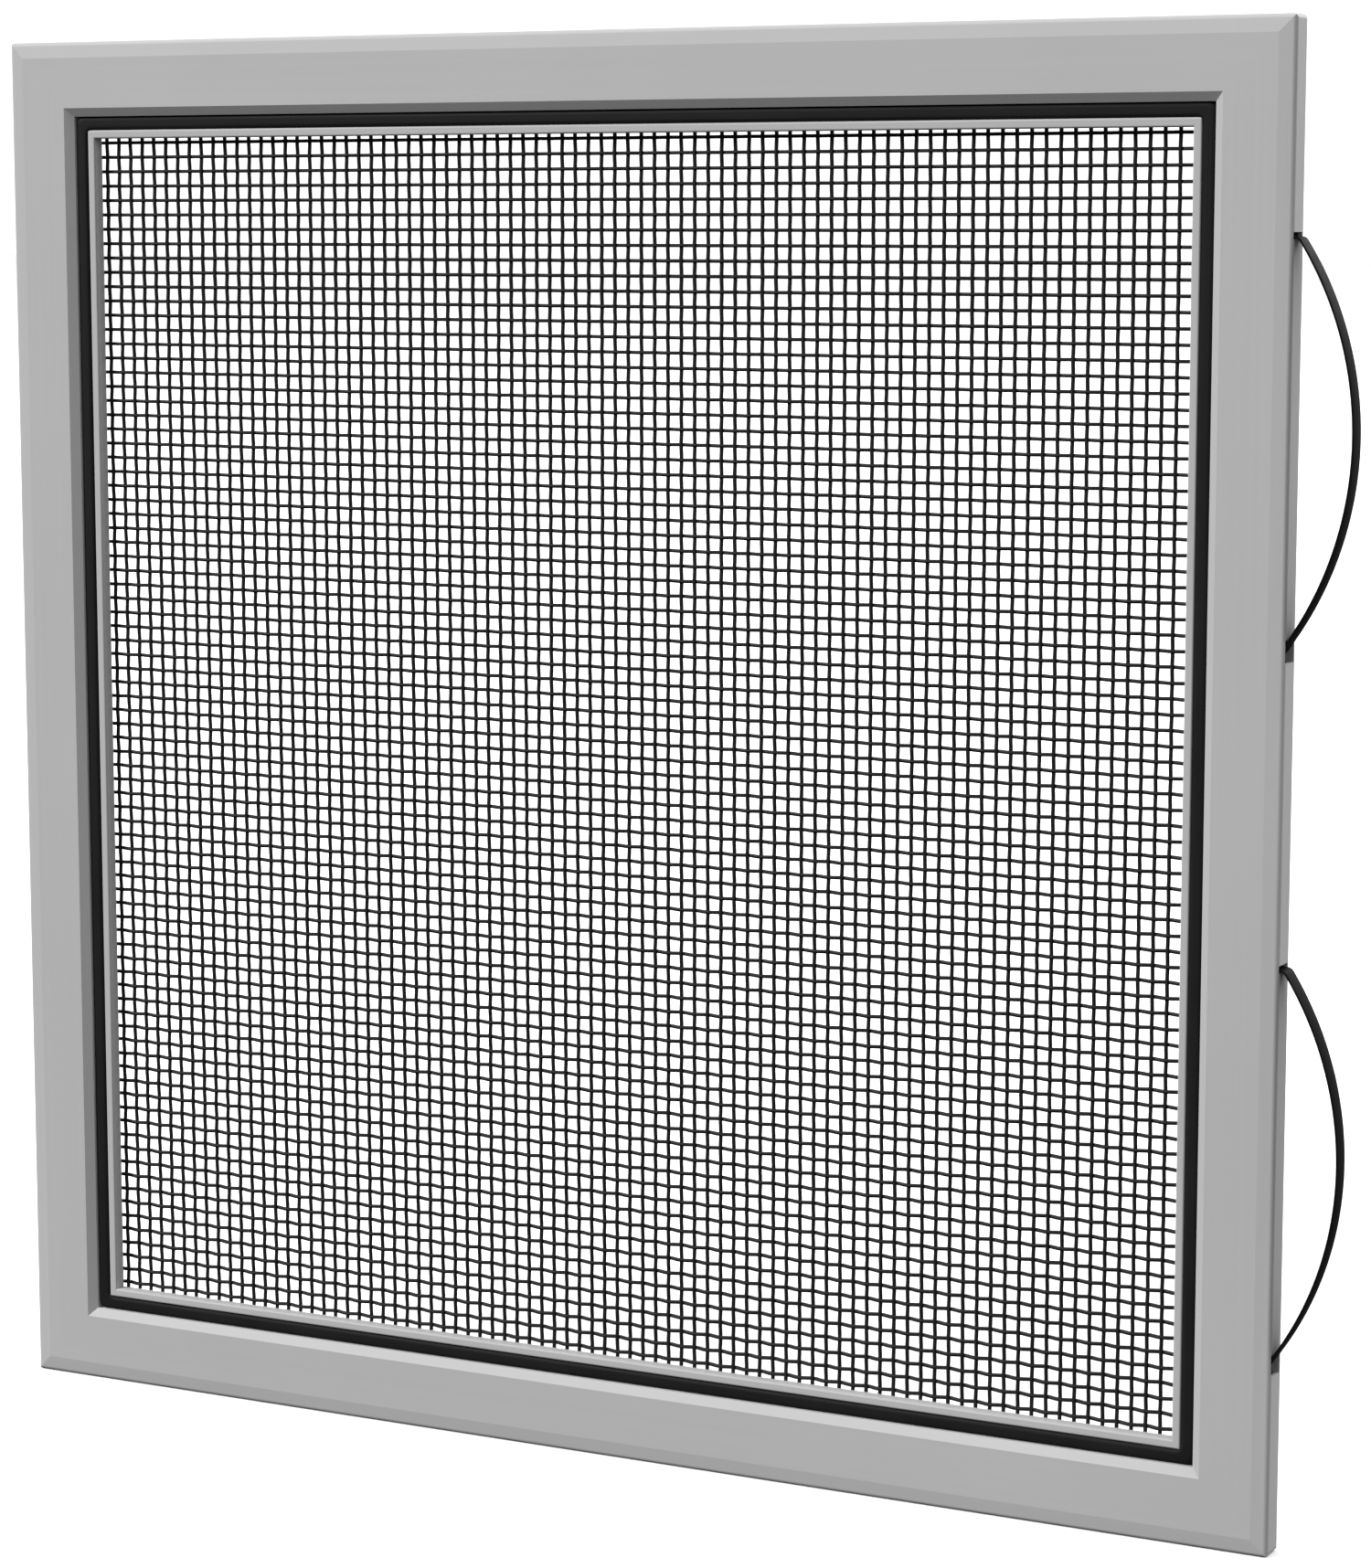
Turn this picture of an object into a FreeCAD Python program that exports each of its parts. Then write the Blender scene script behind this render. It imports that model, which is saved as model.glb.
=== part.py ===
import FreeCAD, Part
import math
import os
import re

import Sketcher

# A window screen frame: four mitred hollow aluminium rails held by hidden corner keys, a soft seal in
# their front groove, woven wire pressed into their back groove by a cord, and two bow springs on the right.
# X runs across the frame, Z up from its bottom edge, and the front faces -Y. Depths count from the front.

# Driving dimensions in millimetres: the alias, its value and what it measures.
SIZES = {
    "frame_width": (360, "outer width, without the springs"),
    "frame_height": (365, "outer height"),
    "frame_depth": (7.94, "thickness from front to back"),
    "corner_radius": (1.2, "rounding of the four outer corners"),
    "rail_width": (25.4, "rail from the outer edge to the inside of the lip"),
    "rail_wall": (1.0, "wall of the hollow rail"),
    "shoulder_width": (4.2, "sloping band along the outer edge of the face"),
    "shoulder_drop": (0.6, "fall of that band at the outer edge"),
    "bevel_run": (2.2, "width of the bevel that leads down to the front groove"),
    "bevel_drop": (1.7, "depth of the front groove's mouth"),
    "groove_width": (3.6, "both grooves, from the hollow of the rail to the lip"),
    "lip_width": (2.2, "lip between the grooves and the opening"),
    "lip_drop": (2.4, "depth of the lip's front below the face"),
    "seal_floor": (3.4, "depth of the front groove's floor"),
    "edge_radius": (1.2, "rounding of the front outer edge"),
    "back_radius": (0.6, "rounding of the back outer edge"),
    "lip_radius": (0.5, "rounding of the lip's four edges"),
    "key_leg": (32, "reach of a corner key's leg from the outer corner"),
    "key_clearance": (0.15, "play of a corner key in the rails"),
    "key_taper": (2.5, "lead-in at the tips of the legs"),
    "key_pocket": (4.6, "side of the lightening pockets"),
    "key_rib": (1.6, "wall between and around the pockets"),
    "key_floor": (1.4, "floor under the pockets"),
    "wire": (0.83, "diameter of the screen wire"),
    "web": (0.3, "sheet that stands for the closed cells of the weave"),
    "warp_pitch": (3.748, "spacing of the upright wires"),
    "weft_pitch": (3.805, "spacing of the level wires"),
    "weave_margin": (0.1, "back of the weave to the back of the frame"),
    "slot_cells": (2, "open cells across a slot in the weave"),
    "side_cells": (1, "closed cells between slots side by side"),
    "end_cells": (2, "closed cells between slots end to end"),
    "slot_rows": (4, "rows of slots up the weave"),
    "seal_rise": (0.3, "seal's crown above the lip"),
    "seal_round": (0.6, "rounding of the seal's crown"),
    "cord_height": (3, "cord from the tucked weave to its crown"),
    "cord_round": (1.3, "rounding of the squeezed cord"),
    "cord_clearance": (0.05, "play on each side of the seal and of the cord"),
    "cord_corner": (1.8, "outer rounding where the seal and the cord turn a corner"),
    "spring_inset": (96.9, "end of the stile to the middle of the nearer spring"),
    "spring_radius": (83, "radius of the bow, at the middle of the strip"),
    "spring_bow": (15, "reach of the bow beyond the edge"),
    "spring_gauge": (0.5, "thickness of the strip"),
    "spring_margin": (0.22, "strip's edges to the inside of the rail's walls"),
    "hook_lead": (0.2, "straight tab outside the edge at the hooked end"),
    "hook_bend": (1.5, "radius of the bend outside the edge"),
    "tongue_bend": (0.9, "radius of the bend inside the rail"),
    "tongue_length": (4, "straight tongue behind the wall"),
    "tongue_gap": (0.2, "tongue to the inside of the wall"),
    "tail_reach": (4, "free end of the strip inside the edge"),
    "slot_clearance": (0.12, "slot around the strip, along its edges"),
    "anchor_slot": (1.6, "height of the slot for the hooked end"),
    "slide_slot": (5.5, "height of the slot that the free end slides in"),
    "slide_gap": (0.25, "free end to the top of its slot"),
}

doc = FreeCAD.newDocument("window_screen_frame")
sheet = doc.addObject("Spreadsheet::Sheet", "Sizes")
for row, (alias, (number, note)) in enumerate(SIZES.items(), start=1):
    sheet.set(f"A{row}", note)
    sheet.set(f"B{row}", str(number))
    sheet.setAlias(f"B{row}", alias)
doc.recompute()

# Places worked out from the driving dimensions. Insets count from the outer edge.
FRONT = "(-frame_depth / 2)"
BACK = "(frame_depth / 2)"
LIP_START = "(rail_width - lip_width)"
GROOVE_START = f"({LIP_START} - groove_width)"
FACE_END = f"({GROOVE_START} - bevel_run)"
CORD_FLOOR = "(seal_floor + rail_wall)"
LIP_BACK = "(frame_depth - weave_margin - 2 * wire)"
CAVITY_END = f"({GROOVE_START} - rail_wall)"
BEVEL_LENGTH = "sqrt(bevel_run^2 + bevel_drop^2)"
WEAVE_MIDDLE = "(frame_depth - weave_margin - wire)"
WARP_CELLS = "floor((frame_width - 2 * rail_width) / warp_pitch)"
WEFT_CELLS = "floor((frame_height - 2 * rail_width) / weft_pitch)"
SPRING_WIDTH = "(frame_depth - 2 * rail_wall - 2 * spring_margin)"
HOOK_HEIGHT = ("(sqrt((spring_radius - hook_bend)^2 - (hook_lead + spring_radius - spring_bow)^2)"
               " + hook_bend)")
TONGUE_PLACE = "(-rail_wall - tongue_gap - spring_gauge / 2)"


def bound(text):
    """The expression with each alias led by the sheet's name."""
    return re.sub(r"[a-z_]+", lambda found: f"Sizes.{found[0]}" if found[0] in SIZES else found[0], text)


def size(text):
    return float(sheet.evalExpression(bound(text)))


def new_body(label, base=("0", "0", "0"), turn=0):
    """A body at a place bound to the sheet, turned about Y."""
    body = doc.addObject("PartDesign::Body", label)
    body.Label = label
    body.Placement.Rotation = FreeCAD.Rotation(FreeCAD.Vector(0, 1, 0), turn)
    for axis, text in zip("xyz", base):
        body.setExpression(f"Placement.Base.{axis}", bound(text))
    return body


def origin_feature(body, role):
    return next(feature for feature in body.Origin.OriginFeatures if feature.Role == role)


def new_sketch(body, name, role, offset="0"):
    sketch = body.newObject("Sketcher::SketchObject", name)
    sketch.AttachmentSupport = (origin_feature(body, role), [""])
    sketch.MapMode = "FlatFace"
    sketch.setExpression("AttachmentOffset.Base.z", bound(offset))
    return sketch


def front_sketch(body, name, depth):
    """A sketch parallel to the front, at a depth below it. Features grow from it towards the front."""
    return new_sketch(body, name, "XZ_Plane", f"frame_depth / 2 - ({depth})")


def arc_between(start, end, radius):
    """The arc under half a turn that runs anticlockwise from start to end."""
    chord = end - start
    half = chord.Length / 2
    leftward = FreeCAD.Vector(-chord.y, chord.x, 0).normalize()
    centre = (start + end) / 2 + leftward * math.sqrt(radius**2 - half**2)
    first = math.atan2(start.y - centre.y, start.x - centre.x)
    last = math.atan2(end.y - centre.y, end.x - centre.x)
    return Part.ArcOfCircle(Part.Circle(centre, FreeCAD.Vector(0, 0, 1), radius), first, last)


def trace(sketch, corners, closed=True):
    """Lines and arcs from corner to corner, each corner held by two expressions.

    A third entry is the radius of an arc to the next corner, and a fourth of "clockwise" turns it round.
    """
    points = [FreeCAD.Vector(size(corner[0]), size(corner[1]), 0) for corner in corners]
    count = len(corners) if closed else len(corners) - 1
    ends = []
    for index in range(count):
        start = points[index]
        end = points[(index + 1) % len(points)]
        corner = corners[index]
        clockwise = len(corner) == 4
        if len(corner) == 2:
            edge = Part.LineSegment(start, end)
        elif clockwise:
            edge = arc_between(end, start, size(corner[2]))
        else:
            edge = arc_between(start, end, size(corner[2]))
        place = sketch.addGeometry(edge)
        ends.append((place, 2, 1) if clockwise else (place, 1, 2))
    joints = count if closed else count - 1
    for index in range(joints):
        place, _, last = ends[index]
        following, first, _ = ends[(index + 1) % count]
        sketch.addConstraint(Sketcher.Constraint("Coincident", place, last, following, first))
    for index, corner in enumerate(corners):
        place, vertex = (ends[index][0], ends[index][1]) if index < count else (ends[-1][0], ends[-1][2])
        for kind, text in (("DistanceX", corner[0]), ("DistanceY", corner[1])):
            hold(sketch, Sketcher.Constraint(kind, -1, 1, place, vertex, size(text)), text)
        if len(corner) > 2:
            hold(sketch, Sketcher.Constraint("Radius", place, size(corner[2])), corner[2])


def hold(sketch, constraint, text):
    number = sketch.addConstraint(constraint)
    sketch.setExpression(f"Constraints[{number}]", bound(text))


def rectangle(sketch, left, bottom, right, top):
    trace(sketch, [(left, bottom), (right, bottom), (right, top), (left, top)])


def inset_rectangle(sketch, inset):
    """A rectangle an even distance inside the frame's outline, centred on X."""
    half = f"frame_width / 2 - ({inset})"
    rectangle(sketch, f"-({half})", inset, half, f"frame_height - ({inset})")


def pad(body, name, sketch, length, symmetric=False):
    feature = body.newObject("PartDesign::Pad", name)
    feature.Profile = sketch
    feature.SideType = "Symmetric" if symmetric else "One side"
    feature.setExpression("Length", bound(length))
    return feature


def pocket(body, name, sketch, length=None, reverse=False):
    """A pocket to a depth, or through everything on both sides of its sketch."""
    feature = body.newObject("PartDesign::Pocket", name)
    feature.Profile = sketch
    feature.Reversed = reverse
    if length is None:
        feature.Type = "ThroughAll"
        feature.SideType = "Symmetric"
    else:
        feature.setExpression("Length", bound(length))
    return feature


def mirrored(body, name, original, role):
    feature = body.newObject("PartDesign::Mirrored", name)
    feature.Originals = [original]
    feature.MirrorPlane = (origin_feature(body, role), [""])
    body.Tip = feature
    return feature


def pattern(body, name, original, *directions):
    """Copies along one or two axes: each direction is an axis, a spacing and a count."""
    feature = body.newObject("PartDesign::MultiTransform", name)
    feature.Originals = [original]
    rows = []
    for role, spacing, copies in directions:
        row = body.newObject("PartDesign::LinearPattern", f"{name}_along_{role[0]}")
        row.Direction = (origin_feature(body, role), [""])
        row.Mode = "Spacing"
        row.setExpression("Offset", bound(spacing))
        row.setExpression("Occurrences", bound(copies))
        rows.append(row)
    feature.Transformations = rows
    body.Tip = feature
    return feature


def round_edges(body, name, base, radius, chosen):
    """A fillet on the edges of the base whose middle passes the test."""
    doc.recompute()
    edges = [f"Edge{number}" for number, edge in enumerate(base.Shape.Edges, start=1)
             if chosen(edge.CenterOfMass)]
    feature = body.newObject("PartDesign::Fillet", name)
    feature.Base = (base, edges)
    feature.setExpression("Radius", bound(radius))
    return feature


def near(first, second, within=1e-4):
    return abs(first - second) < within


# Rails: one hollow section with a groove at the front, a groove at the back and a lip between, mitred.
# In a rail's own frame X is along it, Z is the inset from its outer edge.
def rail_section(sketch):
    offset_run = f"rail_wall * ({BEVEL_LENGTH} - bevel_run) / bevel_drop"
    bevel_inside = f"(({CAVITY_END} - {FACE_END}) * bevel_drop + rail_wall * {BEVEL_LENGTH}) / bevel_run"
    trace(sketch, [
        (BACK, "0"),
        (f"{FRONT} + shoulder_drop", "0"),
        (FRONT, "shoulder_width"),
        (FRONT, FACE_END),
        (f"{FRONT} + bevel_drop", GROOVE_START),
        (f"{FRONT} + seal_floor", GROOVE_START),
        (f"{FRONT} + seal_floor", LIP_START),
        (f"{FRONT} + lip_drop", LIP_START),
        (f"{FRONT} + lip_drop", "rail_width"),
        (f"{FRONT} + {LIP_BACK}", "rail_width"),
        (f"{FRONT} + {LIP_BACK}", LIP_START),
        (f"{FRONT} + {CORD_FLOOR}", LIP_START),
        (f"{FRONT} + {CORD_FLOOR}", GROOVE_START),
        (BACK, GROOVE_START),
    ])
    trace(sketch, [
        (f"{BACK} - rail_wall", "rail_wall"),
        (f"{FRONT} + rail_wall", "rail_wall"),
        (f"{FRONT} + rail_wall", f"{FACE_END} - {offset_run}"),
        (f"{FRONT} + {bevel_inside}", CAVITY_END),
        (f"{BACK} - rail_wall", CAVITY_END),
    ])


def mitre_outline(sketch, length):
    """What lies past the mitre at the rail's +X end, with the outer corner rounded."""
    tip = f"({length}) / 2"
    margin = "rail_wall"
    beyond = f"rail_width + {margin}"
    trace(sketch, [
        (f"{tip} - corner_radius", "0", "corner_radius"),
        (f"{tip} - corner_radius * (1 - sqrt(0.5))", "corner_radius * (1 - sqrt(0.5))"),
        (f"{tip} - ({beyond})", beyond),
        (f"{tip} + {margin}", beyond),
        (f"{tip} + {margin}", f"-{margin}"),
        (f"{tip} - corner_radius", f"-{margin}"),
    ])


def make_rail(label, length, base, turn):
    body = new_body(label, base, turn)
    section = new_sketch(body, f"{label}_section", "YZ_Plane")
    rail_section(section)
    bar = pad(body, f"{label}_bar", section, length, symmetric=True)
    front, lip_ends = size(FRONT), (size(f"{FRONT} + lip_drop"), size(f"{FRONT} + {LIP_BACK}"))
    rounded = round_edges(body, f"{label}_front_edge", bar, "edge_radius", lambda middle:
                          near(middle.z, 0) and near(middle.y, front + size("shoulder_drop")))
    rounded = round_edges(body, f"{label}_back_edge", rounded, "back_radius", lambda middle:
                          near(middle.z, 0) and near(middle.y, size(BACK)))
    rounded = round_edges(body, f"{label}_lip_edges", rounded, "lip_radius", lambda middle:
                          near(middle.x, 0) and any(near(middle.y, lip_end) for lip_end in lip_ends))
    past = new_sketch(body, f"{label}_mitre_outline", "XZ_Plane")
    mitre_outline(past, length)
    mitre = pocket(body, f"{label}_mitre", past)
    mirrored(body, f"{label}_far_mitre", mitre, "YZ_Plane")
    return body


def spring_slots(middle):
    """Where the two slots for one spring's ends lie along a stile, and half their width."""
    half = f"({SPRING_WIDTH} / 2 + slot_clearance)"
    leave = "sqrt(spring_radius^2 - (spring_radius - spring_bow)^2)"
    steepness = "sqrt(1 - (1 - spring_bow / spring_radius)^2)"
    slide_top = f"{middle} - {leave} + spring_gauge / 2 / {steepness} + slide_gap"
    anchor_bottom = f"{middle} + {HOOK_HEIGHT} - spring_gauge / 2 - slot_clearance"
    return [(f"{slide_top} - slide_slot", slide_top), (anchor_bottom, f"{anchor_bottom} + anchor_slot")], half


bottom_rail = make_rail("bottom_rail", "frame_width", ("0", "0", "0"), 0)
right_stile = make_rail("right_stile", "frame_height", ("frame_width / 2", "0", "frame_height / 2"), -90)
top_rail = make_rail("top_rail", "frame_width", ("0", "0", "frame_height"), 180)
left_stile = make_rail("left_stile", "frame_height", ("-frame_width / 2", "0", "frame_height / 2"), 90)

SPRING_PLACES = {
    "upper_bow_spring": "(frame_height / 2 - spring_inset)",
    "lower_bow_spring": "(spring_inset - frame_height / 2)",
}
for name, middle in SPRING_PLACES.items():
    spans, half = spring_slots(middle)
    slots = new_sketch(right_stile, f"{name}_slots", "XY_Plane")
    for low, high in spans:
        rectangle(slots, low, f"-{half}", high, half)
    pocket(right_stile, f"{name}_slot_cut", slots, "rail_wall", reverse=True)


# Corner keys: moulded elbows inside the rails, cored from the back, with tapered leg tips.
def make_key(label, base, turn):
    body = new_body(label, base, turn)
    near_edge = "(rail_wall + key_clearance)"
    far_edge = f"({FACE_END} - rail_wall * ({BEVEL_LENGTH} - bevel_run) / bevel_drop - key_clearance)"
    back = "(frame_depth - rail_wall - key_clearance)"
    thickness = f"({back} - rail_wall - key_clearance)"
    elbow = front_sketch(body, f"{label}_elbow", back)
    trace(elbow, [
        (near_edge, near_edge),
        ("key_leg - key_taper", near_edge),
        ("key_leg", f"{near_edge} + key_taper / 2"),
        ("key_leg", f"{far_edge} - key_taper / 2"),
        ("key_leg - key_taper", far_edge),
        (far_edge, far_edge),
        (far_edge, "key_leg - key_taper"),
        (f"{far_edge} - key_taper / 2", "key_leg"),
        (f"{near_edge} + key_taper / 2", "key_leg"),
        (near_edge, "key_leg - key_taper"),
    ])
    pad(body, f"{label}_blank", elbow, thickness)
    step = "(key_pocket + key_rib)"
    window = front_sketch(body, f"{label}_window", back)
    first = f"({near_edge} + key_rib)"
    rectangle(window, first, first, f"{first} + key_pocket", f"{first} + key_pocket")
    core = pocket(body, f"{label}_core", window, f"{thickness} - key_floor", reverse=True)
    across = f"floor(({far_edge} - {near_edge} - key_rib) / {step})"
    along = f"floor((key_leg - key_taper - {near_edge} - key_rib) / {step})"
    pattern(body, f"{label}_level_cores", core, ("X_Axis", step, along), ("Z_Axis", step, across))
    pattern(body, f"{label}_upright_cores", core, ("X_Axis", step, across), ("Z_Axis", step, along))
    return body


corner_keys = [
    make_key("bottom_left_key", ("-frame_width / 2", "0", "0"), 0),
    make_key("bottom_right_key", ("frame_width / 2", "0", "0"), -90),
    make_key("top_right_key", ("frame_width / 2", "0", "frame_height"), 180),
    make_key("top_left_key", ("-frame_width / 2", "0", "frame_height"), 90),
]


# Screen mesh: upright wires in front, level wires behind, the edge folded over the lip into the back groove.
# Bars of two or three wires with slots between them stand for the fine weave, which is open at every cell.
def make_mesh(label):
    body = new_body(label)
    fold = f"({LIP_START} - web)"
    sheet_back = f"({WEAVE_MIDDLE} + web / 2)"
    field = front_sketch(body, "weave_field", sheet_back)
    inset_rectangle(field, fold)
    pad(body, "weave_sheet", field, "web")
    flange = front_sketch(body, "tucked_flange_outline", sheet_back)
    inset_rectangle(flange, fold)
    inset_rectangle(flange, LIP_START)
    pad(body, "tucked_flange", flange, f"{sheet_back} - {CORD_FLOOR}")
    foot = front_sketch(body, "tucked_foot_outline", f"{CORD_FLOOR} + web")
    inset_rectangle(foot, f"{GROOVE_START} + cord_clearance")
    inset_rectangle(foot, LIP_START)
    pad(body, "tucked_foot", foot, "web")

    column_step = "(slot_cells + side_cells)"
    columns = f"floor(({WARP_CELLS} - side_cells) / {column_step})"
    row_step = f"floor(({WEFT_CELLS} - end_cells) / slot_rows)"
    half_width, half_height = "frame_width / 2", "frame_height / 2"
    warp_start = f"(-({column_step} * {columns} + side_cells) * warp_pitch / 2)"
    weft_start = f"({half_height} - ({row_step} * slot_rows + end_cells) * weft_pitch / 2)"
    ridge = "(wire - web / 2)"
    for name, role, start, low, high, depth in (
            ("warp", "XY_Plane", warp_start, LIP_START, f"frame_height - {LIP_START}", f"-{ridge}"),
            ("weft", "YZ_Plane", weft_start, f"{LIP_START} - {half_width}", f"{half_width} - {LIP_START}", ridge)):
        surface = f"({FRONT} + {WEAVE_MIDDLE})"
        crown = f"{surface} + {depth} * wire / {ridge}"
        profile = new_sketch(body, f"{name}_ridge_profile", role, low)
        around = [("wire / 2", surface), ("wire / 4", crown), ("-wire / 4", crown), ("-wire / 2", surface)]
        if name == "warp":
            trace(profile, [(f"{start} + {aside}", away) for aside, away in around])
        else:
            trace(profile, [(away, f"{start} + {aside}") for aside, away in around])
        strand = pad(body, f"{name}_ridge", profile, f"{high} - ({low})")
        if name == "warp":
            pattern(body, "warp_ridges", strand, ("X_Axis", "warp_pitch", "side_cells + 1"),
                    ("X_Axis", f"{column_step} * warp_pitch", f"{columns} + 1"))
        else:
            pattern(body, "weft_ridges", strand, ("Z_Axis", "weft_pitch", "end_cells + 1"),
                    ("Z_Axis", f"{row_step} * weft_pitch", "slot_rows + 1"))

    left = f"{warp_start} + side_cells * warp_pitch + wire / 2"
    low = f"{weft_start} + end_cells * weft_pitch + wire / 2"
    outline = front_sketch(body, "weave_slot_outline", sheet_back)
    rectangle(outline, left, low, f"{left} + slot_cells * warp_pitch - wire",
              f"{low} + ({row_step} - end_cells) * weft_pitch - wire")
    slot = pocket(body, "weave_slot", outline, "web", reverse=True)
    pattern(body, "weave_slots", slot, ("X_Axis", f"{column_step} * warp_pitch", columns),
            ("Z_Axis", f"{row_step} * weft_pitch", "slot_rows"))
    return body


screen_mesh = make_mesh("screen_mesh")


# Seal and cord: two soft rings, each between two depths, with its outer corners and some of its rims rounded.
def make_ring(label, inside, front, back, radius, rims):
    body = new_body(label)
    outside = f"{GROOVE_START} + cord_clearance"
    outline = front_sketch(body, f"{label}_outline", back)
    inset_rectangle(outline, outside)
    inset_rectangle(outline, inside)
    run = pad(body, f"{label}_run", outline, f"{back} - ({front})")
    turned = round_edges(body, f"{label}_corners", run, "cord_corner", lambda middle:
                         near(abs(middle.x), size(f"frame_width / 2 - ({outside})"))
                         and near(abs(middle.z - size("frame_height / 2")),
                                  size(f"frame_height / 2 - ({outside})")))
    levels = [size(f"{FRONT} + {rim}") for rim in rims]
    round_edges(body, f"{label}_rounding", turned, radius, lambda middle:
                any(near(middle.y, level) for level in levels))
    return body


# The seal lies on the front groove's floor. The cord is squeezed into the back groove over the folded weave.
SEAL_CROWN = "(lip_drop - seal_rise)"
CORD_SEAT = f"({CORD_FLOOR} + web)"
CORD_CROWN = f"({CORD_SEAT} + cord_height)"
seal_cord = make_ring("seal_cord", f"{LIP_START} - cord_clearance", SEAL_CROWN, "seal_floor",
                      "seal_round", [SEAL_CROWN])
spline_cord = make_ring("spline_cord", f"{LIP_START} - web - cord_clearance", CORD_SEAT, CORD_CROWN,
                        "cord_round", [CORD_SEAT, CORD_CROWN])


# Bow springs: flat strip, hooked through the stile's wall at the top and free to slide at the bottom.
def make_spring(label, middle):
    body = new_body(label, ("frame_width / 2", "0", f"frame_height / 2 + {middle}"))
    centre = "(spring_bow - spring_radius)"
    bend_height = f"({HOOK_HEIGHT} - hook_bend)"
    tangent_x = f"{centre} + spring_radius * (hook_lead - {centre}) / (spring_radius - hook_bend)"
    tangent_z = f"spring_radius * {bend_height} / (spring_radius - hook_bend)"
    tail_drop = f"sqrt(spring_radius^2 - (tail_reach + {centre})^2)"
    tongue_top = f"{HOOK_HEIGHT} + tongue_bend + tongue_length"
    path = new_sketch(body, f"{label}_path", "XZ_Plane")
    trace(path, [
        ("-tail_reach", f"-{tail_drop}", "spring_radius"),
        (tangent_x, tangent_z, "hook_bend"),
        ("hook_lead", HOOK_HEIGHT),
        (f"{TONGUE_PLACE} + tongue_bend", HOOK_HEIGHT, "tongue_bend", "clockwise"),
        (TONGUE_PLACE, f"{HOOK_HEIGHT} + tongue_bend"),
        (TONGUE_PLACE, tongue_top),
    ], closed=False)
    profile = new_sketch(body, f"{label}_profile", "XY_Plane", tongue_top)
    rectangle(profile, f"{TONGUE_PLACE} - spring_gauge / 2", f"-{SPRING_WIDTH} / 2",
              f"{TONGUE_PLACE} + spring_gauge / 2", f"{SPRING_WIDTH} / 2")
    strip = body.newObject("PartDesign::AdditivePipe", f"{label}_strip")
    strip.Profile = profile
    strip.Spine = path
    return body


springs = [make_spring(name, middle) for name, middle in SPRING_PLACES.items()]

# Every object has to be sound before anything is written.
doc.recompute()
for item in doc.Objects:
    if "Invalid" in item.State or "Error" in item.State:
        raise RuntimeError(f"{item.Label} failed: {item.State}")
pieces = [bottom_rail, right_stile, top_rail, left_stile, *corner_keys,
          seal_cord, screen_mesh, spline_cord, *springs]
for piece in pieces:
    if piece.Shape.isNull() or not piece.Shape.isValid() or len(piece.Shape.Solids) != 1:
        raise RuntimeError(f"{piece.Label} is not one sound solid")

os.makedirs("parts", exist_ok=True)
for piece in pieces:
    piece.Shape.exportStep(f"parts/{piece.Label}.step")
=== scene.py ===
import math

import bmesh
import bpy
from mathutils import Matrix, Vector


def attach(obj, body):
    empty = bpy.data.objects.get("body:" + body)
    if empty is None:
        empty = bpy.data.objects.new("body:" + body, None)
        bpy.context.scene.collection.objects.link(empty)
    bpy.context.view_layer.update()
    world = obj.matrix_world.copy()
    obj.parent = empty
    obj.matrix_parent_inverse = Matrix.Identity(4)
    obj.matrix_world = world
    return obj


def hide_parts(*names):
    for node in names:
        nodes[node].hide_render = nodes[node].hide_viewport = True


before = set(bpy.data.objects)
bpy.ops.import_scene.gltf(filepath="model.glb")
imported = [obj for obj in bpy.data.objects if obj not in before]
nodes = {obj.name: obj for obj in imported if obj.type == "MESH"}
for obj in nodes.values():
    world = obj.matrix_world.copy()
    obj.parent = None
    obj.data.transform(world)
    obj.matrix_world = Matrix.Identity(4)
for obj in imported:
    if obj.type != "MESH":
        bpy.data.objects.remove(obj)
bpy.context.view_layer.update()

# Rails and stiles: hollow aluminium extrusions, mitred and closed at the corners, painted satin grey.
# The paint has a fine peel, and faint draw lines along each length show through it.
MM = 0.001
ALONG_DRAW, ACROSS_DRAW = 6, 900


class Tone:
    """A shader socket that works in sums: each operator adds a Math node."""

    def __init__(self, socket):
        self.socket = socket

    def node(self, kind, settings, inputs, output=0):
        """Adds any node: its settings first, then the numbers or links of its inputs."""
        tree = self.socket.id_data
        made = tree.nodes.new(kind)
        for name, setting in settings.items():
            setattr(made, name, setting)
        for key, value in inputs.items():
            if isinstance(value, Tone):
                tree.links.new(value.socket, made.inputs[key])
            else:
                made.inputs[key].default_value = value
        return Tone(made.outputs[output])

    def into(self, socket):
        self.socket.id_data.links.new(self.socket, socket)

    def worked(self, operation, other):
        return self.node("ShaderNodeMath", {"operation": operation}, {0: self, 1: other})

    def __add__(self, other):
        return self.worked("ADD", other)

    def __mul__(self, other):
        return self.worked("MULTIPLY", other)

    __radd__, __rmul__ = __add__, __mul__


def new_finish(name, **constants):
    """A material with its constant sockets set, its shader's sockets and its Object coordinates."""
    finish = bpy.data.materials.new(name)
    finish.use_nodes = True
    shader = finish.node_tree.nodes["Principled BSDF"]
    for socket, value in constants.items():
        shader.inputs[socket.replace("_", " ")].default_value = value
    place = finish.node_tree.nodes.new("ShaderNodeTexCoord").outputs["Object"]
    return finish, shader.inputs, Tone(place)


def stretched(place, scale):
    return place.node("ShaderNodeMapping", {}, {"Vector": place, "Scale": scale})


def noise(place, scale, detail=2.0):
    return place.node("ShaderNodeTexNoise", {}, {"Vector": place, "Scale": scale, "Detail": detail})


def between(share, low, high):
    """A colour between two greys."""
    return share.node("ShaderNodeMix", {"data_type": "RGBA"},
                      {0: share, 6: (low, low, low, 1), 7: (high, high, high, 1)}, output=2)


def bump(height, strength, distance):
    return height.node("ShaderNodeBump", {}, {"Height": height, "Strength": strength, "Distance": distance})


def coat(name, finish):
    """Gives a node's own mesh the finish."""
    nodes[name].data.materials.clear()
    nodes[name].data.materials.append(finish)


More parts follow.
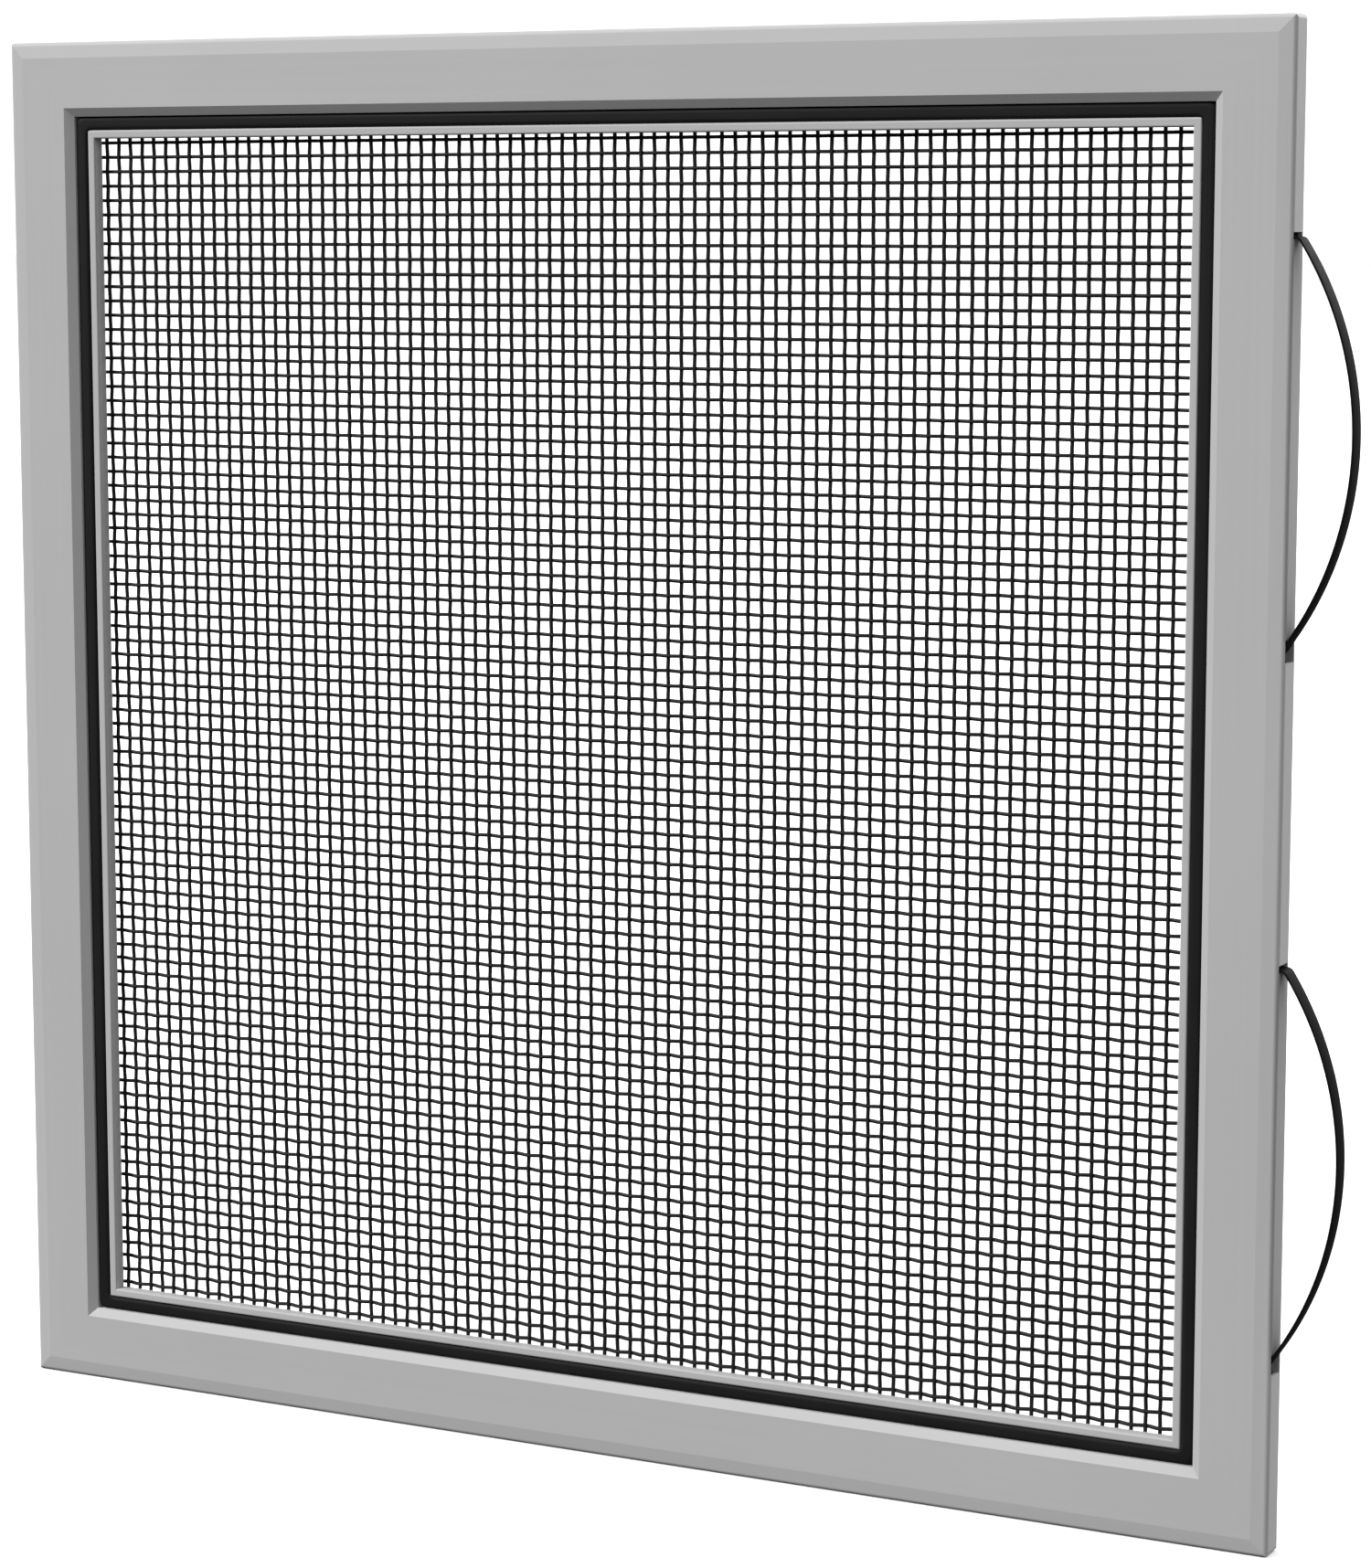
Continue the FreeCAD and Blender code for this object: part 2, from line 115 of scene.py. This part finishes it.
for run, draw_lines, members in (
        ("level", (ALONG_DRAW, ACROSS_DRAW, ACROSS_DRAW), ("bottom_rail", "top_rail")),
        ("upright", (ACROSS_DRAW, ACROSS_DRAW, ALONG_DRAW), ("left_stile", "right_stile"))):
    paint, sockets, place = new_finish(f"grey_paint_{run}", Specular_IOR_Level=0.2)
    clouds = noise(place, scale=14)
    drawn = noise(stretched(place, draw_lines), scale=1.0, detail=3.0)
    peel = noise(place, scale=1500, detail=1.0)
    between(clouds * 0.6 + drawn * 0.4, low=0.345, high=0.395).into(sockets["Base Color"])
    (0.46 + drawn * 0.1 + peel * 0.08).into(sockets["Roughness"])
    bump(peel * 0.6 + drawn * 0.4, strength=0.12, distance=0.06 * MM).into(sockets["Normal"])
    for name in members:
        coat(name, paint)

# Corner keys: moulded nylon elbows pushed into the rails' ends, wholly hidden inside them.
# They keep the mould's matte grain.
nylon, sockets, place = new_finish("black_nylon")
grain = noise(place, scale=2600)
between(grain, low=0.018, high=0.03).into(sockets["Base Color"])
(0.55 + grain * 0.2).into(sockets["Roughness"])
bump(grain, strength=0.2, distance=0.05 * MM).into(sockets["Normal"])
for name in ("bottom_left_key", "bottom_right_key", "top_right_key", "top_left_key"):
    coat(name, nylon)

# Seal: a black vinyl strip with a ribbed crown, pressed into the groove in the frame's front.
# It is one length bent round the four corners, which rounds it off there.
FRAME_WIDTH, FRAME_HEIGHT, FRAME_DEPTH = 360 * MM, 365 * MM, 7.94 * MM
FRONT = -FRAME_DEPTH / 2
GROOVE_START, LIP_START = 19.6 * MM, 23.2 * MM
CORNER_BEND, CORNER_STEPS = 1.4 * MM, 4
SEAL_GAP = 0.05 * MM
SEAL_START = GROOVE_START + SEAL_GAP
SEAL_WIDTH = LIP_START - SEAL_GAP - SEAL_START
SEAL_CROWN, SEAL_EDGE_DROP, SEAL_FLOOR = 2.1 * MM, 0.55 * MM, 3.4 * MM
SEAL_STEPS, SEAL_RIB = 10, 0.12 * MM


def made_object(name, bm, finish):
    """Turns a finished mesh into an object with one finish, shaded smooth."""
    mesh = bpy.data.meshes.new(name)
    bm.to_mesh(mesh)
    bm.free()
    mesh.polygons.foreach_set("use_smooth", [True] * len(mesh.polygons))
    mesh.materials.append(finish)
    made = bpy.data.objects.new(name, mesh)
    bpy.context.scene.collection.objects.link(made)
    return made


def put_piece(name, bm, finish, node):
    """Makes a piece that rides on the frame and stands for a node."""
    piece = made_object(name, bm, finish)
    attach(piece, "root")
    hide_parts(node)


def only(kind, geom):
    """The verts or the edges among what an operator gives back."""
    return [item for item in geom if isinstance(item, kind)]


def ring_round_frame(bm):
    """Carries a closed section in the XY plane, X its inset and Y its depth, once round the frame."""
    corners = [bm.edges[:]]
    bmesh.ops.transform(bm, verts=bm.verts[:], matrix=Matrix(
        ((1, 0, 0, -FRAME_WIDTH / 2), (0, 1, 0, FRONT), (1, 0, 0, 0), (0, 0, 0, 1))))
    to_right = Matrix.Scale(-1, 4, (1, 0, 0))
    to_top = Matrix.Translation((0, 0, FRAME_HEIGHT)) @ Matrix.Scale(-1, 4, (0, 0, 1))
    for source, flip in ((0, to_right), (1, to_top), (0, to_top)):
        copy = bmesh.ops.duplicate(bm, geom=corners[source])["geom"]
        bmesh.ops.transform(bm, matrix=flip, verts=only(bmesh.types.BMVert, copy))
        corners.append(only(bmesh.types.BMEdge, copy))
    for index, edges in enumerate(corners):
        bmesh.ops.bridge_loops(bm, edges=edges + corners[(index + 1) % len(corners)])
    bmesh.ops.bevel(bm, geom=[edge for edges in corners for edge in edges], offset=CORNER_BEND,
                    affect="EDGES", offset_type="OFFSET", segments=CORNER_STEPS, profile=0.5, material=-1)
    bmesh.ops.recalc_face_normals(bm, faces=bm.faces[:])


seal = bmesh.new()
bmesh.ops.create_grid(seal, x_segments=SEAL_STEPS, y_segments=1, size=0.5)
bmesh.ops.delete(seal, geom=seal.faces[:], context="FACES_KEEP_BOUNDARY")
for vert in seal.verts:
    across = vert.co.x
    crown = SEAL_CROWN + SEAL_EDGE_DROP * abs(2 * across)**5
    ribbed = crown + (SEAL_RIB if round(across * SEAL_STEPS) % 2 else 0)
    vert.co = (SEAL_START + (across + 0.5) * SEAL_WIDTH, ribbed if vert.co.y < 0 else SEAL_FLOOR, 0)
ring_round_frame(seal)

vinyl, sockets, place = new_finish("black_vinyl", Specular_IOR_Level=0.1)
bloom = noise(place, scale=60)
pores = noise(place, scale=3000, detail=1.0)
between(bloom, low=0.005, high=0.010).into(sockets["Base Color"])
(0.5 + bloom * 0.15 + pores * 0.1).into(sockets["Roughness"])
bump(pores, strength=0.15, distance=0.04 * MM).into(sockets["Normal"])
put_piece("seal_strip", seal, vinyl, "seal_cord")

# Screen: aluminium wire with a charcoal coating, woven over and under at every crossing.
# The upright wires are drawn nearly straight, the level ones bend round them, and the coating bonds them.
# The weave lies on the back of the lip, and its cut ends are tucked into the back groove.
WIRE, WIRE_SIDES, CELLS = 1.0 * MM, 6, 82
WARP_PITCH, WEFT_PITCH = 3.748 * MM, 3.805 * MM
WARP_CRIMP, WEFT_CRIMP = 0.1 * MM, 0.4 * MM
CRIMP_FLAT = 0.4
WARP_START = -CELLS * WARP_PITCH / 2
WEFT_START = (FRAME_HEIGHT - CELLS * WEFT_PITCH) / 2
WEAVE_MIDDLE = FRAME_DEPTH / 2 - 0.97 * MM
LIP_BACK, TUCK_DEPTH = 6.18 * MM, 5.2 * MM
TUCK_INSET = LIP_START - WIRE / 2
TUCK_BEND, TUCK_STEPS = 0.6 * MM, 3
QUARTER_TURN = math.pi / 2


def extrude(bm, ring, step):
    """Carries an open ring of edges on by one step and gives the new ring."""
    made = bmesh.ops.extrude_edge_only(bm, edges=ring)["geom"]
    bmesh.ops.translate(bm, vec=step, verts=only(bmesh.types.BMVert, made))
    return only(bmesh.types.BMEdge, made)


def turn(bm, ring, centre, axis, angle, steps):
    """Carries an open ring round a bend and gives the new ring."""
    made = bmesh.ops.spin(bm, geom=ring, cent=centre, axis=axis, dvec=(0, 0, 0), angle=angle, steps=steps,
                          use_merge=False, use_duplicate=False)["geom_last"]
    return only(bmesh.types.BMEdge, made)


def crimped_wire(crimp, first, pitch, span):
    """One wire up the screen at X 0. With a crimp above 0 it passes behind the first crossing."""
    wire = bmesh.new()
    lap = FRONT + LIP_BACK + WIRE / 2
    foot = FRONT + TUCK_DEPTH
    low, high = TUCK_INSET + TUCK_BEND, span - TUCK_INSET - TUCK_BEND
    bmesh.ops.create_circle(wire, segments=WIRE_SIDES, radius=WIRE / 2, matrix=Matrix.Translation(
        (0, foot, TUCK_INSET)) @ Matrix.Rotation(QUARTER_TURN, 4, "X"))
    ring = extrude(wire, wire.edges[:], (0, lap - TUCK_BEND - foot, 0))
    ring = turn(wire, ring, (0, lap - TUCK_BEND, low), (1, 0, 0), QUARTER_TURN, TUCK_STEPS)
    at_y, at_z = lap, low
    for cell in range(CELLS + 1):
        to_y = WEAVE_MIDDLE + crimp * (-1)**cell
        for share in (-CRIMP_FLAT / 2, CRIMP_FLAT / 2):
            to_z = first + (cell + share) * pitch
            ring = extrude(wire, ring, (0, to_y - at_y, to_z - at_z))
            at_y, at_z = to_y, to_z
    ring = extrude(wire, ring, (0, lap - at_y, high - at_z))
    ring = turn(wire, ring, (0, lap - TUCK_BEND, high), (1, 0, 0), QUARTER_TURN, TUCK_STEPS)
    extrude(wire, ring, (0, foot - lap + TUCK_BEND, 0))
    bmesh.ops.holes_fill(wire, edges=[edge for edge in wire.edges if edge.is_boundary])
    bmesh.ops.recalc_face_normals(wire, faces=wire.faces[:])
    return wire


def set_of_wires(crimp, start, pitch, first_crossing, crossing_pitch, span):
    """All the wires one way: every second one passes its first crossing on the other side."""
    whole = bmesh.new()
    for odd in (0, 1):
        wires = crimped_wire(crimp * (-1)**odd, first_crossing, crossing_pitch, span)
        bmesh.ops.translate(wires, vec=(start + odd * pitch, 0, 0), verts=wires.verts[:])
        bmesh.ops.spin(wires, geom=wires.verts[:] + wires.edges[:] + wires.faces[:], cent=(0, 0, 0),
                       axis=(0, 0, 1), dvec=(2 * pitch, 0, 0), angle=0, steps=(CELLS - odd) // 2,
                       use_merge=False, use_duplicate=True)
        half = bpy.data.meshes.new("every_second_wire")
        wires.to_mesh(half)
        wires.free()
        whole.from_mesh(half)
        bpy.data.meshes.remove(half)
    return whole


warp = set_of_wires(-WARP_CRIMP, WARP_START, WARP_PITCH, WEFT_START, WEFT_PITCH, FRAME_HEIGHT)
weft = set_of_wires(WEFT_CRIMP, WEFT_START, WEFT_PITCH, WARP_START + FRAME_WIDTH / 2, WARP_PITCH,
                    FRAME_WIDTH)
bmesh.ops.transform(weft, verts=weft.verts[:], matrix=Matrix(
    ((0, 0, 1, -FRAME_WIDTH / 2), (0, 1, 0, 0), (1, 0, 0, 0), (0, 0, 0, 1))))
bmesh.ops.reverse_faces(weft, faces=weft.faces[:])

charcoal, sockets, place = new_finish("charcoal_coating", Specular_IOR_Level=0.12)
patches = noise(place, scale=90)
grit = noise(place, scale=2400)
between(patches * 0.5 + grit * 0.5, low=0.006, high=0.018).into(sockets["Base Color"])
(0.4 + grit * 0.25).into(sockets["Roughness"])
bump(grit, strength=0.1, distance=0.03 * MM).into(sockets["Normal"])
put_piece("upright_wires", warp, charcoal, "screen_mesh")
put_piece("level_wires", weft, charcoal, "screen_mesh")

# Cord: round ribbed vinyl, rolled into the back groove so that it wedges the wires' ends there.
# The groove squeezes it, and it shows only from behind.
CORD_INSET, CORD_DEPTH = 21.25 * MM, 6.2 * MM
CORD_HALF_WIDTH, CORD_HALF_HEIGHT = 1.6 * MM, 1.5 * MM
CORD_STEPS, CORD_VALLEY = 28, 0.94
cord = bmesh.new()
bmesh.ops.create_circle(cord, segments=CORD_STEPS, radius=1)
for index, vert in enumerate(cord.verts):
    rib = 1 if index % 2 else CORD_VALLEY
    vert.co = (CORD_INSET + vert.co.x * rib * CORD_HALF_WIDTH,
               CORD_DEPTH + vert.co.y * rib * CORD_HALF_HEIGHT, 0)
ring_round_frame(cord)
put_piece("spline_round", cord, vinyl, "spline_cord")

# Bow springs: strips of spring steel, blackened, with rolled edges.
# The upper end is hooked through a slot in the stile's edge, and the lower end slides in a longer slot.
EDGE = FRAME_WIDTH / 2
BOW_RADIUS, BOW_REACH, BOW_STEPS = 83 * MM, 15 * MM, 60
STRIP_WIDTH, STRIP_THICKNESS, STRIP_ROUNDING = 5.5 * MM, 0.5 * MM, 0.15 * MM
HOOK_LEAD, HOOK_BEND, HOOK_STEPS = 0.2 * MM, 1.5 * MM, 8
TONGUE_X, TONGUE_BEND, TONGUE_LENGTH = -1.45 * MM, 0.9 * MM, 4 * MM
TAIL_REACH = 4 * MM
SPRING_MIDDLES = {"upper_bow_spring": 268.1 * MM, "lower_bow_spring": 96.9 * MM}
OUTWARDS, INWARDS = (0, -1, 0), (0, 1, 0)

steel, sockets, place = new_finish("blackened_steel", Specular_IOR_Level=0.01)
brushed = noise(stretched(place, (1600, 1600, 40)), scale=1.0, detail=3.0)
oil = noise(place, scale=70)
between(oil * 0.6 + brushed * 0.4, low=0.003, high=0.009).into(sockets["Base Color"])
(0.36 + brushed * 0.2 + oil * 0.1).into(sockets["Roughness"])
bump(brushed, strength=0.1, distance=0.03 * MM).into(sockets["Normal"])

bow_centre = BOW_REACH - BOW_RADIUS
tail_angle = -math.acos((-TAIL_REACH - bow_centre) / BOW_RADIUS)
hook_angle = math.acos((HOOK_LEAD - bow_centre) / (BOW_RADIUS - HOOK_BEND))
hook_height = (BOW_RADIUS - HOOK_BEND) * math.sin(hook_angle) + HOOK_BEND
tongue_root = TONGUE_X + TONGUE_BEND
for name, middle in SPRING_MIDDLES.items():
    strip = bmesh.new()
    bmesh.ops.create_grid(strip, x_segments=1, y_segments=1, size=0.5, matrix=Matrix.Diagonal(
        (STRIP_THICKNESS, STRIP_WIDTH, 1, 1)))
    bmesh.ops.bevel(strip, geom=strip.verts[:], offset=STRIP_ROUNDING, affect="VERTICES",
                    offset_type="OFFSET", segments=3, profile=0.5, material=-1)
    bmesh.ops.delete(strip, geom=strip.faces[:], context="FACES_KEEP_BOUNDARY")
    bmesh.ops.translate(strip, vec=(BOW_RADIUS, 0, 0), verts=strip.verts[:])
    bmesh.ops.rotate(strip, cent=(0, 0, 0), matrix=Matrix.Rotation(-tail_angle, 3, "Y"),
                     verts=strip.verts[:])
    bmesh.ops.translate(strip, vec=(bow_centre, 0, 0), verts=strip.verts[:])
    ring = turn(strip, strip.edges[:], (bow_centre, 0, 0), OUTWARDS, hook_angle - tail_angle, BOW_STEPS)
    ring = turn(strip, ring, (HOOK_LEAD, 0, hook_height - HOOK_BEND), OUTWARDS, QUARTER_TURN - hook_angle,
                HOOK_STEPS)
    ring = extrude(strip, ring, (tongue_root - HOOK_LEAD, 0, 0))
    ring = turn(strip, ring, (tongue_root, 0, hook_height + TONGUE_BEND), INWARDS, QUARTER_TURN, HOOK_STEPS)
    extrude(strip, ring, (0, 0, TONGUE_LENGTH))
    bmesh.ops.holes_fill(strip, edges=[edge for edge in strip.edges if edge.is_boundary])
    bmesh.ops.recalc_face_normals(strip, faces=strip.faces[:])
    bmesh.ops.translate(strip, vec=(EDGE, 0, middle), verts=strip.verts[:])
    put_piece(f"{name}_strip", strip, steel, name)

# Studio: a pale floor, white light behind and above the frame, a soft light from the upper left in front,
# and a weaker one from behind. The floor takes shadows and throws no light back up the frame.
FLOOR_SIDE = 60
BRIGHT_SIDE, DIM, BRIGHT, BELOW = (0.4, 0.7, 0.6), 0.24, 1.3, 0.15
LAMP_SIDE = 4.8
LAMPS = (("front_light", 2750, (-8.0, -8.8, 7.6)), ("back_light", 970, (4.2, 11.9, 6.0)))

pale, sockets, place = new_finish("pale_floor", Roughness=0.9)
between(noise(place, scale=3), low=0.92, high=0.95).into(sockets["Base Color"])
floor_grid = bmesh.new()
bmesh.ops.create_grid(floor_grid, x_segments=1, y_segments=1, size=FLOOR_SIDE / 2)
floor = made_object("floor", floor_grid, pale)
floor.visible_diffuse = False
floor.visible_glossy = False


def ramp(value, start, end, low, high):
    """Goes smoothly from low to high while the value goes from start to end."""
    return value.node("ShaderNodeMapRange", {"interpolation_type": "SMOOTHSTEP"},
                      {"Value": value, "From Min": start, "From Max": end, "To Min": low, "To Max": high})


world = bpy.data.worlds.new("studio")
bpy.context.scene.world = world
world.use_nodes = True
backdrop = Tone(world.node_tree.nodes.new("ShaderNodeTexCoord").outputs["Generated"])
behind = backdrop.node("ShaderNodeVectorMath", {"operation": "DOT_PRODUCT"},
                       {0: backdrop, 1: BRIGHT_SIDE}, output="Value")
height = backdrop.node("ShaderNodeSeparateXYZ", {}, {"Vector": backdrop}, output="Z")
wall = ramp(behind, start=-0.3, end=0.45, low=DIM, high=BRIGHT)
ground = ramp(height, start=-0.3, end=0, low=BELOW, high=1)
background = world.node_tree.nodes["Background"].inputs
background["Color"].default_value = (1, 1, 1, 1)
(wall * ground).into(background["Strength"])

for name, energy, stand in LAMPS:
    lamp = bpy.data.lights.new(name, "AREA")
    lamp.size = LAMP_SIDE
    lamp.energy = energy
    light = bpy.data.objects.new(name, lamp)
    light.location = stand
    aim = Vector((0, 0, FRAME_HEIGHT / 2)) - light.location
    light.rotation_euler = aim.to_track_quat("-Z", "Y").to_euler()
    bpy.context.scene.collection.objects.link(light)

# Camera: a long lens, to the right of the frame's front and a little above its middle.
# It looks slightly down, and the view keeps plain tones.
CAMERA_STAND = (0.4909, -0.9115, 0.3184)
CAMERA_TURN, CAMERA_DIP = 27.25, 7.84
lens = bpy.data.cameras.new("camera")
lens.lens = 94.2
lens.sensor_width = 36
camera = bpy.data.objects.new("camera", lens)
camera.location = CAMERA_STAND
camera.rotation_euler = (math.radians(90 - CAMERA_DIP), 0, math.radians(CAMERA_TURN))
bpy.context.scene.collection.objects.link(camera)
bpy.context.scene.camera = camera
bpy.context.scene.view_settings.view_transform = "Standard"
